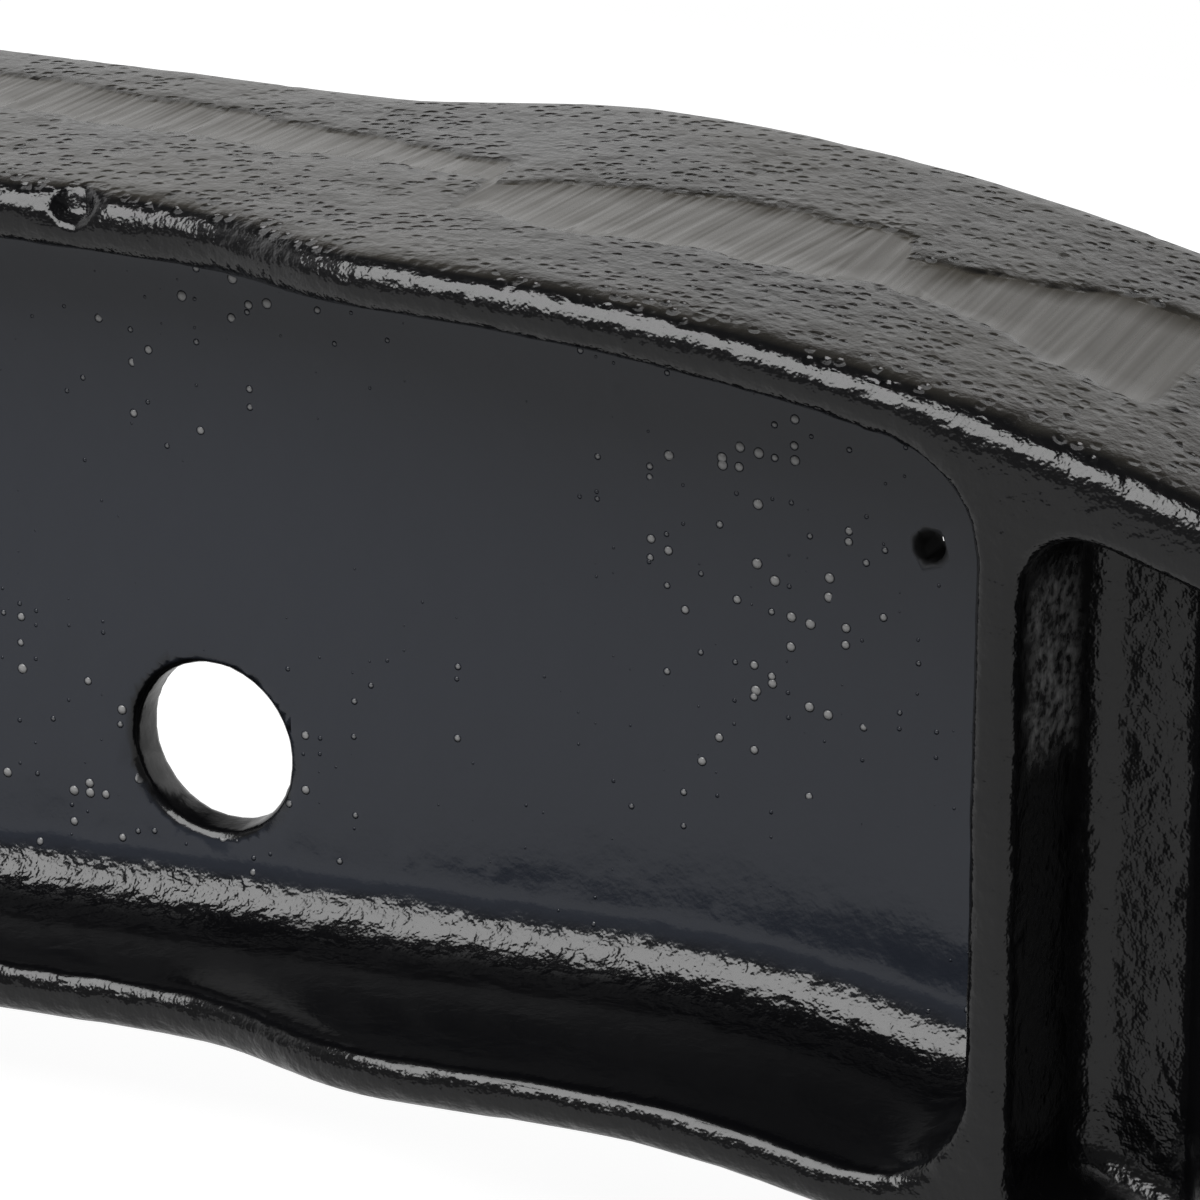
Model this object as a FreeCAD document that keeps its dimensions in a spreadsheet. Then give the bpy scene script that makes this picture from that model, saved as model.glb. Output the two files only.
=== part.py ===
import FreeCAD, Part
import math
import os
import Sketcher

# Axle pivot bar: one casting of I section. The origin is the middle of the pivot bore.
# X runs along the bar, Y fore and aft, Z up. The bar is the same left and right, front and back,
# so one quarter is shaped, mirrored to the back and then to the other arm.

# Driving dimensions in mm, angles in degrees: name, value, what it measures.
SIZES = (
    ("king_pin_reach", 506, "pivot axis to king pin axis"),
    ("centre_top", 71.5, "top of the bar above the pivot axis"),
    ("centre_bottom", 71.5, "underside of the bar below the pivot axis"),
    ("crown_inset", 159, "where the top starts to curve down, inboard of the king pin axis"),
    ("crown_top", 78.5, "height of the top there"),
    ("crown_radius", 400, "curve of the top"),
    ("elbow_inset", 136, "where the underside starts to curve down, inboard of the king pin axis"),
    ("elbow_bottom", 53, "underside there, below the pivot axis"),
    ("elbow_radius", 190, "curve of the underside"),
    ("end_top", 55, "cast top face at the end of the bar"),
    ("end_bottom", 79.5, "cast underside at the end of the bar, below the pivot axis"),
    ("end_blend", 12, "run-out of the curves into the flat end"),
    ("arm_half_width", 35, "half width of the flanges along the arm"),
    ("swell_inset", 206, "where the flanges start to widen, inboard of the king pin axis"),
    ("swell_radius", 57, "both curves of the widening, seen from above"),
    ("swell_half_width", 46.5, "half width after the widening"),
    ("end_half_width", 42.2, "half width of the flanges at the king pin"),
    ("edge_break", 3.2, "broken outer edges of the flanges"),
    ("web_half", 4.5, "half thickness of the web"),
    ("flange_thickness", 11, "top and bottom flange along the arm, at the web"),
    ("pocket_draft", 3, "draft of the pocket walls"),
    ("pocket_corner", 14, "corners of the arm pocket"),
    ("web_fillet", 11, "fillet from web to flange"),
    ("rim_break", 1.6, "broken rims of the pockets"),
    ("rib_inset", 62.8, "middle of the upright rib, inboard of the king pin axis"),
    ("rib_thickness", 10.5, "rib thickness at its face"),
    ("end_web_half", 19.5, "half thickness of the web outside the rib"),
    ("end_flange_thickness", 13.5, "top and bottom flange outside the rib, at the web"),
    ("end_corner", 8, "corners of the end pocket"),
    ("end_fillet", 6, "fillet round the floor of the end pocket"),
    ("pivot_block_half", 62, "half length of the solid middle"),
    ("pivot_hub_radius", 46, "hub round the pivot bore"),
    ("pivot_hub_reach", 62, "hub face in front of the middle plane"),
    ("pivot_hub_foot", 6, "slope at the foot of the hub"),
    ("pivot_bore_radius", 22.5, "bore for the pivot pin"),
    ("king_boss_radius", 45, "upright boss round the king pin"),
    ("king_boss_top", 57, "machined top of the boss"),
    ("king_boss_foot", 82, "machined foot of the boss, below the pivot axis"),
    ("king_bore_radius", 20, "bore for the king pin"),
    ("washer_face_radius", 38, "flat round the king pin bore, at the top of the boss"),
    ("bore_chamfer", 1.5, "mouths of the bores"),
    ("web_hole_inset", 211, "large hole in the web, inboard of the king pin axis"),
    ("web_hole_drop", 19.7, "large hole, below the pivot axis"),
    ("web_hole_radius", 13.5, "large hole in the web"),
    ("web_hole_break", 1.5, "broken rims of the large hole"),
    ("clip_hole_inset", 90, "small hole in the web, inboard of the king pin axis"),
    ("clip_hole_rise", 33.4, "small hole, above the pivot axis"),
    ("clip_hole_radius", 2.4, "small hole in the web"),
    ("lock_pin_offset", 25, "lock pin axis, inboard of the king pin axis"),
    ("lock_pin_rise", 25.3, "lock pin axis, above the pivot axis"),
    ("lock_pin_radius", 6.5, "hole for the lock pin"),
)

doc = FreeCAD.newDocument("axle_pivot_bar")
sheet = doc.addObject("Spreadsheet::Sheet", "Sizes")
for row, (alias, value, meaning) in enumerate(SIZES, start=1):
    sheet.set("A%d" % row, meaning)
    sheet.set("B%d" % row, str(value))
    sheet.setAlias("B%d" % row, alias)
doc.recompute()

# Places along the bar that are set from the king pin axis.
CROWN_X = "(Sizes.king_pin_reach - Sizes.crown_inset)"
ELBOW_X = "(Sizes.king_pin_reach - Sizes.elbow_inset)"
SWELL_X = "(Sizes.king_pin_reach - Sizes.swell_inset)"
RIB_X = "(Sizes.king_pin_reach - Sizes.rib_inset)"
WEB_HOLE_X = "(Sizes.king_pin_reach - Sizes.web_hole_inset)"
CLIP_HOLE_X = "(Sizes.king_pin_reach - Sizes.clip_hole_inset)"
BLANK_END = "Sizes.king_pin_reach"
PLAN_END = "Sizes.king_pin_reach + Sizes.king_boss_radius"
FAR_SIDE = "Sizes.swell_half_width + Sizes.king_boss_radius"

# The two long outlines of the bar, as expressions: height at the middle, knee, curve.
CROWN_SLOPE = "atan((Sizes.crown_top - Sizes.centre_top) / %s)" % CROWN_X
ELBOW_SLOPE = "atan((Sizes.centre_bottom - Sizes.elbow_bottom) / %s)" % ELBOW_X
TOP = {
    "side": 1,
    "start": "Sizes.centre_top",
    "knee_x": CROWN_X,
    "knee": "Sizes.crown_top",
    "radius": "Sizes.crown_radius",
    "slope": CROWN_SLOPE,
    "centre_x": "%s + Sizes.crown_radius * sin(%s)" % (CROWN_X, CROWN_SLOPE),
    "centre_drop": "Sizes.crown_radius * cos(%s) - Sizes.crown_top" % CROWN_SLOPE,
    "end": "Sizes.end_top",
}
UNDERSIDE = {
    "side": -1,
    "start": "Sizes.centre_bottom",
    "knee_x": ELBOW_X,
    "knee": "Sizes.elbow_bottom",
    "radius": "Sizes.elbow_radius",
    "slope": ELBOW_SLOPE,
    "centre_x": "%s + Sizes.elbow_radius * sin(%s)" % (ELBOW_X, ELBOW_SLOPE),
    "centre_drop": "Sizes.elbow_radius * cos(%s) + Sizes.elbow_bottom" % ELBOW_SLOPE,
    "end": "Sizes.end_bottom",
}
RIB_INNER = "%s - Sizes.rib_thickness / 2" % RIB_X
RIB_OUTER = "%s + Sizes.rib_thickness / 2" % RIB_X


def ask(expression):
    """The present value of an expression."""
    return float(sheet.evalExpression(expression))


def signed(side, expression):
    """A height above the pivot axis, or below it where side is negative."""
    return expression if side > 0 else "-(%s)" % expression


# Sketch helpers


def new_sketch(body, name, role):
    plane = next(item for item in body.Origin.OriginFeatures if item.Role == role)
    sketch = body.newObject("Sketcher::SketchObject", name)
    sketch.AttachmentSupport = [(plane, "")]
    sketch.MapMode = "FlatFace"
    return sketch


def raise_sketch(sketch, height):
    """Lifts a sketch off its plane: forwards from the middle plane, upwards from the level plane."""
    sketch.setExpression("AttachmentOffset.Base.z", height)


def dimension(sketch, kind, *where_and_expression):
    """A dimension that follows an expression."""
    where = where_and_expression[:-1]
    expression = where_and_expression[-1]
    index = sketch.addConstraint(Sketcher.Constraint(kind, *where, ask(expression)))
    sketch.setExpression("Constraints[%d]" % index, expression)


def locate(sketch, geometry, point, across=None, up=None):
    """Puts a point at a distance from the sketch's origin; a leading minus is left or down."""
    for kind, expression, axis in (("DistanceX", across, -2), ("DistanceY", up, -1)):
        if expression is None:
            continue
        if expression == "0":
            sketch.addConstraint(Sketcher.Constraint("PointOnObject", geometry, point, axis))
        elif expression.startswith("-"):
            dimension(sketch, kind, geometry, point, -1, 1, expression[1:])
        else:
            dimension(sketch, kind, -1, 1, geometry, point, expression)


def add_line(sketch, start, end):
    return sketch.addGeometry(Part.LineSegment(FreeCAD.Vector(*start, 0), FreeCAD.Vector(*end, 0)))


def add_arc(sketch, centre, radius, first, last):
    """An arc, counter-clockwise from one angle to the other, in radians."""
    circle = Part.Circle(FreeCAD.Vector(*centre, 0), FreeCAD.Vector(0, 0, 1), radius)
    return sketch.addGeometry(Part.ArcOfCircle(circle, first, last))


def smooth(sketch, first, first_point, second, second_point):
    sketch.addConstraint(Sketcher.Constraint("Tangent", first, first_point, second, second_point))


def joined(sketch, first, first_point, second, second_point):
    sketch.addConstraint(Sketcher.Constraint("Coincident", first, first_point, second, second_point))


def close_with_line(sketch, first, first_point, second, second_point, tangent=False):
    """A straight line between two points that are already placed."""
    start = sketch.getPoint(first, first_point)
    end = sketch.getPoint(second, second_point)
    line = add_line(sketch, (start.x, start.y), (end.x, end.y))
    join = smooth if tangent else joined
    join(sketch, first, first_point, line, 1)
    join(sketch, second, second_point, line, 2)
    return line


def pass_through(sketch, line, across, up):
    """Makes a line run through a place that need not be its end."""
    guide = sketch.addGeometry(Part.Point(FreeCAD.Vector(ask(across), ask(up), 0)))
    sketch.setConstruction(guide, True)
    locate(sketch, guide, 1, across, up)
    sketch.addConstraint(Sketcher.Constraint("PointOnObject", guide, 1, line))


def add_circle(sketch, radius, across="0", up="0"):
    centre = FreeCAD.Vector(ask(across), ask(up), 0)
    circle = sketch.addGeometry(Part.Circle(centre, FreeCAD.Vector(0, 0, 1), ask(radius)))
    locate(sketch, circle, 3, across, up)
    dimension(sketch, "Radius", circle, radius)


# The long outlines of the bar


def outer_edge(sketch, course):
    """Straight arm, long curve down, short run-out and the flat end: one edge of the blank."""
    side = course["side"]
    start_height = signed(side, course["start"])
    knee_height = signed(side, course["knee"])
    end_height = signed(side, course["end"])
    start = ask(start_height)
    knee_x = ask(course["knee_x"])
    knee = ask(knee_height)
    radius = ask(course["radius"])
    blend = ask("Sizes.end_blend")
    level = ask(end_height)
    slope = math.atan2(knee - start, knee_x)
    centre = (knee_x + radius * math.sin(slope), knee - radius * math.cos(slope))
    drop = level + blend - centre[1]
    blend_centre = (centre[0] + math.sqrt((radius + blend) ** 2 - drop ** 2), level + blend)
    turn = math.atan2(drop, blend_centre[0] - centre[0])
    line = add_line(sketch, (0, start), (knee_x, knee))
    curve = add_arc(sketch, centre, radius, turn, math.pi / 2 + slope)
    run_out = add_arc(sketch, blend_centre, blend, math.pi + turn, 1.5 * math.pi)
    flat = add_line(sketch, (blend_centre[0], level), (ask(BLANK_END), level))
    locate(sketch, line, 1, "0", start_height)
    locate(sketch, line, 2, course["knee_x"], knee_height)
    smooth(sketch, line, 2, curve, 2)
    dimension(sketch, "Radius", curve, course["radius"])
    smooth(sketch, curve, 1, run_out, 1)
    dimension(sketch, "Radius", run_out, "Sizes.end_blend")
    smooth(sketch, run_out, 2, flat, 1)
    sketch.addConstraint(Sketcher.Constraint("Horizontal", flat))
    locate(sketch, flat, 2, BLANK_END, end_height)
    return line, flat


class Inner:
    """One long edge of a pocket: the outline of the bar, moved inwards by the flange."""

    def __init__(self, course, inset):
        self.side = course["side"]
        self.radius = "%s %s %s" % (course["radius"], "-" if self.side > 0 else "+", inset)
        self.slope = course["slope"]
        self.height = signed(self.side, "%s - %s / cos(%s)" % (course["start"], inset, self.slope))
        self.centre_x = course["centre_x"]
        self.centre_drop = course["centre_drop"]
        self.centre = (ask(self.centre_x), -ask(self.centre_drop))
        self.knee_turn = math.pi / 2 + self.lean()

    def lean(self):
        """Slope of the straight arm, in radians, rising outwards."""
        return math.radians(ask(self.slope))

    def on_curve(self, turn):
        radius = ask(self.radius)
        return self.centre[0] + radius * math.cos(turn), self.centre[1] + radius * math.sin(turn)

    def corner_on_curve(self, across, radius):
        """Centre of a corner that touches the curve, and where it touches, as an angle."""
        reach = ask(self.radius) - self.side * radius
        run = across - self.centre[0]
        rise = math.sqrt(reach ** 2 - run ** 2)
        return (across, self.centre[1] + rise), math.atan2(rise, run)

    def corner_on_line(self, across, radius):
        """Centre of a corner that touches the straight arm, and where it touches."""
        lean = self.lean()
        height = ask(self.height) + across * math.tan(lean) - self.side * radius / math.cos(lean)
        touch = (across - self.side * radius * math.sin(lean), height + self.side * radius * math.cos(lean))
        return (across, height), touch

    def add_curve(self, sketch, right_turn, left_turn):
        curve = add_arc(sketch, self.centre, ask(self.radius), right_turn, left_turn)
        locate(sketch, curve, 3, self.centre_x, "-(%s)" % self.centre_drop)
        dimension(sketch, "Radius", curve, self.radius)
        return curve

    def add_line(self, sketch, left):
        """The straight arm, from a point on it to the knee."""
        line = add_line(sketch, left, self.on_curve(self.knee_turn))
        pass_through(sketch, line, "0", self.height)
        return line


def add_corner(sketch, edge, centre, corner, side, facing):
    """A round corner between a long edge and an upright wall; gives the corner and its end at the wall.

    The edge is a geometry number, the number of its end there and the direction of that end from the
    centre. The pocket lies to the right of the wall where facing is 1, to the left where it is -1.
    """
    geometry, point, edge_turn = edge
    wall_turn = math.pi if facing > 0 else 0
    if facing * side > 0:
        turns = (edge_turn, wall_turn)
        at_edge, at_wall = 1, 2
    else:
        turns = (wall_turn, edge_turn)
        at_edge, at_wall = 2, 1
    if turns[1] < turns[0]:
        turns = (turns[0], turns[1] + 2 * math.pi)
    bend = add_arc(sketch, centre, ask(corner), *turns)
    smooth(sketch, geometry, point, bend, at_edge)
    dimension(sketch, "Radius", bend, corner)
    return bend, at_wall


def add_wall(sketch, upper, lower, across):
    """An upright side of a pocket between two corners."""
    wall = close_with_line(sketch, *upper, *lower, tangent=True)
    sketch.addConstraint(Sketcher.Constraint("Vertical", wall))
    locate(sketch, wall, 1, across)


def outline_pocket(sketch, inset, left, right, corner, straight):
    """Outline of a pocket between two upright walls: flange, wall, flange, wall."""
    radius = ask(corner)
    rights = []
    lefts = []
    for course in (TOP, UNDERSIDE):
        inner = Inner(course, inset)
        side = inner.side
        right_centre, right_turn = inner.corner_on_curve(ask(right) - radius, radius)
        if straight:
            left_centre, touch = inner.corner_on_line(ask(left) + radius, radius)
            left_end = inner.add_line(sketch, touch)
            curve = inner.add_curve(sketch, right_turn, inner.knee_turn)
            smooth(sketch, left_end, 2, curve, 2)
            left_edge = (left_end, 1, inner.knee_turn + (0 if side > 0 else math.pi))
        else:
            left_centre, left_turn = inner.corner_on_curve(ask(left) + radius, radius)
            curve = inner.add_curve(sketch, right_turn, left_turn)
            left_edge = (curve, 2, left_turn + (0 if side > 0 else math.pi))
        right_edge = (curve, 1, right_turn + (0 if side > 0 else math.pi))
        rights.append(add_corner(sketch, right_edge, right_centre, corner, side, -1))
        lefts.append(add_corner(sketch, left_edge, left_centre, corner, side, 1))
    add_wall(sketch, *rights, right)
    add_wall(sketch, *lefts, left)


# Feature helpers


def add_feature(body, kind, name, **settings):
    feature = body.newObject("PartDesign::" + kind, name)
    for key, value in settings.items():
        setattr(feature, key, value)
    return feature


def outward_normal(face, point):
    return face.normalAt(*face.Surface.parameter(point))


def edges_between(shape, first, second):
    """Names of the edges where a face that passes one test meets a face that passes the other."""
    names = []
    for number, edge in enumerate(shape.Edges, start=1):
        middle = edge.valueAt((edge.FirstParameter + edge.LastParameter) / 2)
        faces = shape.ancestorsOfType(edge, Part.Face)
        if len(faces) != 2:
            continue
        one, other = faces
        if (first(one, middle) and second(other, middle)) or (first(other, middle) and second(one, middle)):
            names.append("Edge%d" % number)
    return names


def circles(shape, expression):
    """Names of the full circular edges of one radius."""
    radius = ask(expression)
    names = []
    for number, edge in enumerate(shape.Edges, start=1):
        round_edge = not edge.Degenerated and isinstance(edge.Curve, Part.Circle) and edge.isClosed()
        if round_edge and abs(edge.Curve.Radius - radius) < 0.001:
            names.append("Edge%d" % number)
    return names


def dress_edges(body, kind, name, edges, size, expression):
    """A fillet or chamfer on edges of the newest feature."""
    feature = add_feature(body, kind, name, Base=(body.Tip, edges))
    feature.setExpression(size, expression)
    doc.recompute()
    return feature


def is_upright(face, point):
    """Part of the outline seen from above, apart from the two planes of symmetry."""
    normal = outward_normal(face, point)
    return abs(normal.z) < 0.001 and abs(normal.y) > 0.5 and point.y < -0.01


def is_top_or_underside(face, point):
    return abs(outward_normal(face, point).z) > 0.5


def is_web(face, point):
    """The flat floor of a pocket."""
    depths = (ask("Sizes.web_half"), ask("Sizes.end_web_half"))
    on_floor = any(abs(point.y + depth) < 0.01 for depth in depths)
    return on_floor and abs(outward_normal(face, point).y) > 0.999


def is_pocket_wall(face, point):
    inside = 1 < point.x < ask(BLANK_END) - 1
    return inside and abs(outward_normal(face, point).y) < 0.3


# The casting


def shape_blank(body):
    """The front half of one arm, as the outline seen from the side, without pockets."""
    sketch = new_sketch(body, "SideOutline", "XZ_Plane")
    top_line, top_flat = outer_edge(sketch, TOP)
    under_line, under_flat = outer_edge(sketch, UNDERSIDE)
    close_with_line(sketch, top_flat, 2, under_flat, 2)
    close_with_line(sketch, under_line, 1, top_line, 1)
    doc.recompute()
    blank = add_feature(body, "Pad", "Blank", Profile=sketch)
    blank.setExpression("Length", FAR_SIDE)
    doc.recompute()
    return blank


def cut_plan(body):
    """Straight arm, widening by two equal curves, and a long taper that runs into the king pin boss."""
    sketch = new_sketch(body, "PlanOutline", "XY_Plane")
    half = ask("Sizes.arm_half_width")
    start = ask(SWELL_X)
    radius = ask("Sizes.swell_radius")
    wide = ask("Sizes.swell_half_width")
    end = ask(PLAN_END)
    turn = math.acos(1 - (wide - half) / 2 / radius)
    swell_end = start + 2 * radius * math.sin(turn)
    arm = add_line(sketch, (0, -half), (start, -half))
    first = add_arc(sketch, (start, -half - radius), radius, math.pi / 2 - turn, math.pi / 2)
    last = add_arc(sketch, (swell_end, -wide + radius), radius, 1.5 * math.pi - turn, 1.5 * math.pi)
    taper = add_line(sketch, (swell_end, -wide), (end, -ask("Sizes.end_half_width")))
    far = add_line(sketch, (end, -ask(FAR_SIDE)), (0, -ask(FAR_SIDE)))
    locate(sketch, arm, 1, "0", "-Sizes.arm_half_width")
    locate(sketch, arm, 2, SWELL_X, "-Sizes.arm_half_width")
    smooth(sketch, arm, 2, first, 2)
    smooth(sketch, first, 1, last, 1)
    dimension(sketch, "Radius", first, "Sizes.swell_radius")
    sketch.addConstraint(Sketcher.Constraint("Equal", first, last))
    smooth(sketch, last, 2, taper, 1)
    locate(sketch, taper, 1, None, "-Sizes.swell_half_width")
    pass_through(sketch, taper, "Sizes.king_pin_reach", "-Sizes.end_half_width")
    locate(sketch, taper, 2, PLAN_END)
    locate(sketch, far, 1, PLAN_END, "-(%s)" % FAR_SIDE)
    locate(sketch, far, 2, "0", "-(%s)" % FAR_SIDE)
    close_with_line(sketch, taper, 2, far, 1)
    close_with_line(sketch, far, 2, arm, 1)
    doc.recompute()
    cut = add_feature(body, "Pocket", "PlanCut", Profile=sketch, Type="ThroughAll", SideType="Symmetric")
    doc.recompute()
    return cut


def hollow(body, name, sketch, floor):
    """Cuts a pocket forwards from its floor."""
    raise_sketch(sketch, floor)
    doc.recompute()
    pocket = add_feature(body, "Pocket", name, Profile=sketch, Reversed=True)
    pocket.setExpression("Length", "Sizes.swell_half_width")
    pocket.setExpression("TaperAngle", "Sizes.pocket_draft")
    doc.recompute()
    return pocket


def cut_arm_pocket(body):
    """The long hollow beside the web, from the solid middle to the upright rib."""
    sketch = new_sketch(body, "ArmPocketOutline", "XZ_Plane")
    left = "Sizes.pivot_block_half"
    outline_pocket(sketch, "Sizes.flange_thickness", left, RIB_INNER, "Sizes.pocket_corner", True)
    return hollow(body, "ArmPocket", sketch, "Sizes.web_half")


def cut_end_pocket(body):
    """The shallow hollow between the rib and the king pin boss; its far side lies inside the boss."""
    sketch = new_sketch(body, "EndPocketOutline", "XZ_Plane")
    right = "Sizes.king_pin_reach - Sizes.end_corner / 2"
    outline_pocket(sketch, "Sizes.end_flange_thickness", RIB_OUTER, right, "Sizes.end_corner", False)
    return hollow(body, "EndPocket", sketch, "Sizes.end_web_half")


def add_king_boss(body):
    """Upright round boss for the king pin, machined at its top and foot."""
    sketch = new_sketch(body, "KingBossOutline", "XY_Plane")
    add_circle(sketch, "Sizes.king_boss_radius", "Sizes.king_pin_reach")
    doc.recompute()
    boss = add_feature(body, "Pad", "KingBoss", Profile=sketch, SideType="Two sides", Type2="Length")
    boss.setExpression("Length", "Sizes.king_boss_top")
    boss.setExpression("Length2", "Sizes.king_boss_foot")
    doc.recompute()
    return boss


def face_king_boss(body):
    """Clears the sloping flange off the washer face at the top of the boss."""
    sketch = new_sketch(body, "WasherFaceOutline", "XY_Plane")
    raise_sketch(sketch, "Sizes.king_boss_top")
    add_circle(sketch, "Sizes.washer_face_radius", "Sizes.king_pin_reach")
    doc.recompute()
    cut = add_feature(body, "Pocket", "WasherFace", Profile=sketch, Reversed=True, Type="ThroughAll")
    doc.recompute()
    return cut


def mirror_whole(body, name, role):
    plane = next(item for item in body.Origin.OriginFeatures if item.Role == role)
    mirror = body.newObject("PartDesign::Mirrored", name)
    mirror.TransformMode = "Whole shape"
    mirror.MirrorPlane = (plane, [""])
    body.Tip = mirror
    doc.recompute()
    return mirror


def drill(body, name, role, radius, across="0", up="0"):
    """A plain round hole through everything, square to one of the body's planes."""
    sketch = new_sketch(body, name + "Outline", role)
    add_circle(sketch, radius, across, up)
    doc.recompute()
    hole = add_feature(body, "Pocket", name, Profile=sketch, Type="ThroughAll", SideType="Symmetric")
    doc.recompute()
    return hole


def add_pivot_hub(body):
    """Round hub through the solid middle, with a sloped foot at each side."""
    sketch = new_sketch(body, "PivotHubOutline", "XZ_Plane")
    add_circle(sketch, "Sizes.pivot_hub_radius")
    doc.recompute()
    hub = add_feature(body, "Pad", "PivotHub", Profile=sketch, SideType="Symmetric")
    hub.setExpression("Length", "2 * Sizes.pivot_hub_reach")
    doc.recompute()
    feet = edges_between(hub.Shape, is_hub_side, is_arm_face)
    return dress_edges(body, "Chamfer", "PivotHubFoot", feet, "Size", "Sizes.pivot_hub_foot")


def is_hub_side(face, point):
    return isinstance(face.Surface, Part.Cylinder) and abs(face.Surface.Radius - ask("Sizes.pivot_hub_radius")) < 0.001


def is_arm_face(face, point):
    return abs(abs(point.y) - ask("Sizes.arm_half_width")) < 0.001 and abs(outward_normal(face, point).y) > 0.999


def drill_arm(body):
    """Every hole of one arm."""
    drill(body, "WebHole", "XZ_Plane", "Sizes.web_hole_radius", WEB_HOLE_X, "-Sizes.web_hole_drop")
    rims = circles(body.Tip.Shape, "Sizes.web_hole_radius")
    dress_edges(body, "Chamfer", "WebHoleRims", rims, "Size", "Sizes.web_hole_break")
    drill(body, "ClipHole", "XZ_Plane", "Sizes.clip_hole_radius", CLIP_HOLE_X, "Sizes.clip_hole_rise")
    lock_pin_x = "Sizes.king_pin_reach - Sizes.lock_pin_offset"
    drill(body, "LockPinHole", "XZ_Plane", "Sizes.lock_pin_radius", lock_pin_x, "Sizes.lock_pin_rise")
    drill(body, "KingPinBore", "XY_Plane", "Sizes.king_bore_radius", "Sizes.king_pin_reach")
    mouths = circles(body.Tip.Shape, "Sizes.king_bore_radius")
    dress_edges(body, "Chamfer", "KingPinMouths", mouths, "Size", "Sizes.bore_chamfer")


def shape_quarter(body):
    """Front half of one arm, with its pockets."""
    shape_blank(body)
    cut_plan(body)
    corners = edges_between(body.Tip.Shape, is_upright, is_top_or_underside)
    dress_edges(body, "Chamfer", "EdgeBreaks", corners, "Size", "Sizes.edge_break")
    cut_arm_pocket(body)
    foot = edges_between(body.Tip.Shape, is_web, is_pocket_wall)
    dress_edges(body, "Fillet", "WebFillet", foot, "Radius", "Sizes.web_fillet")
    cut_end_pocket(body)
    foot = edges_between(body.Tip.Shape, is_web, is_pocket_wall)
    dress_edges(body, "Fillet", "EndFillet", foot, "Radius", "Sizes.end_fillet")
    rims = edges_between(body.Tip.Shape, is_upright, is_pocket_wall)
    dress_edges(body, "Chamfer", "RimBreaks", rims, "Size", "Sizes.rim_break")


def shape_bar(body):
    shape_quarter(body)
    mirror_whole(body, "Back", "XZ_Plane")
    add_king_boss(body)
    face_king_boss(body)
    drill_arm(body)
    mirror_whole(body, "OtherArm", "YZ_Plane")
    add_pivot_hub(body)
    drill(body, "PivotBore", "XZ_Plane", "Sizes.pivot_bore_radius")
    mouths = circles(body.Tip.Shape, "Sizes.pivot_bore_radius")
    dress_edges(body, "Chamfer", "PivotMouths", mouths, "Size", "Sizes.bore_chamfer")


def check(document):
    """Stops the build if any object failed or any shape is missing or faulty."""
    for item in document.Objects:
        if "Invalid" in item.State or "Error" in item.State:
            raise ValueError("%s: %s" % (item.Name, item.getStatusString()))
        shape = getattr(item, "Shape", None)
        if shape is None:
            continue
        if shape.isNull() or not shape.isValid():
            raise ValueError("%s has no valid shape" % item.Name)


body = doc.addObject("PartDesign::Body", "AxleBar")
body.Label = "axle_bar"
shape_bar(body)
doc.recompute()
check(doc)
os.makedirs("parts", exist_ok=True)
body.Shape.exportStep("parts/%s.step" % body.Label)
print("%s: %.0f mm3" % (body.Label, body.Shape.Volume))
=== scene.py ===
import math

import bmesh
import bpy
import numpy as np
from bpy.props import FloatProperty, FloatVectorProperty, IntProperty, PointerProperty
from mathutils import Matrix, Vector

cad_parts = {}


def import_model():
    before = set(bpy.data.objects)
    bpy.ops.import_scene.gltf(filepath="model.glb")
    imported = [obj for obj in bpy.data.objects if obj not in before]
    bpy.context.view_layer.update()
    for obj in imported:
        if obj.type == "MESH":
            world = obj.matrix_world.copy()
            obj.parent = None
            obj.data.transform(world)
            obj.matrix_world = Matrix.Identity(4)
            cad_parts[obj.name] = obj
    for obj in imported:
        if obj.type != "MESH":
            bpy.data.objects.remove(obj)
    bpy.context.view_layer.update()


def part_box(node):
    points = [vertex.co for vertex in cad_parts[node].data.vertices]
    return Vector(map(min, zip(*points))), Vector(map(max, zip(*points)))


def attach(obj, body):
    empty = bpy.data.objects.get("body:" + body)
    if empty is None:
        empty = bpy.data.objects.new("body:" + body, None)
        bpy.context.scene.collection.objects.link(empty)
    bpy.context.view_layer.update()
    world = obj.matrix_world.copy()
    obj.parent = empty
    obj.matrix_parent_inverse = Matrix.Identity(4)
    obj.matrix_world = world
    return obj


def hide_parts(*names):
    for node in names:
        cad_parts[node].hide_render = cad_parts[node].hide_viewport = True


bl_info = {
    "name": "Axle pivot bar",
    "version": (1, 0, 0),
    "blender": (4, 5, 0),
    "location": "3D View > Sidebar > Axle bar",
    "description": "Cast skin, black paint and a plain studio for a cast axle pivot bar",
    "category": "Object",
}

NODE = "axle_bar"

# Places and sizes of the solid that the finish follows, in metres from the middle of the pivot bore.
KING_PIN_X = 0.506
RIB_X = 0.4432
BLOCK_END_X = 0.062
WEB_HALF = 0.0045
END_WEB_HALF = 0.0195
BOSS_TOP = 0.057
BOSS_FOOT = -0.082
HUB_REACH = 0.062

# The large hole in the web: distance from the middle, height.
WEB_HOLE = (0.295, -0.0197)

# Small round holes through the bar from front to back: distance from the middle, height, radius.
SMALL_HOLES = (
    (0.4160, 0.0334, 0.0023),
    (0.4810, 0.0253, 0.0065),
)

# Where the flash along the parting line was ground off, seen from above, in metres: distance from the
# middle of the bar, then how far the ground strip reaches to the front and to the back.
GROUND_COURSE = (
    (0.060, -0.004, 0.014),
    (0.180, -0.003, 0.017),
    (0.250, 0.001, 0.019),
    (0.300, -0.001, 0.014),
    (0.342, -0.002, 0.007),
    (0.344, -0.017, -0.003),
    (0.360, -0.020, 0.005),
    (0.390, -0.016, 0.010),
    (0.406, -0.014, 0.011),
    (0.409, -0.012, 0.002),
    (0.428, -0.012, 0.010),
    (0.440, -0.019, 0.016),
    (0.458, -0.018, 0.018),
)

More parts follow.
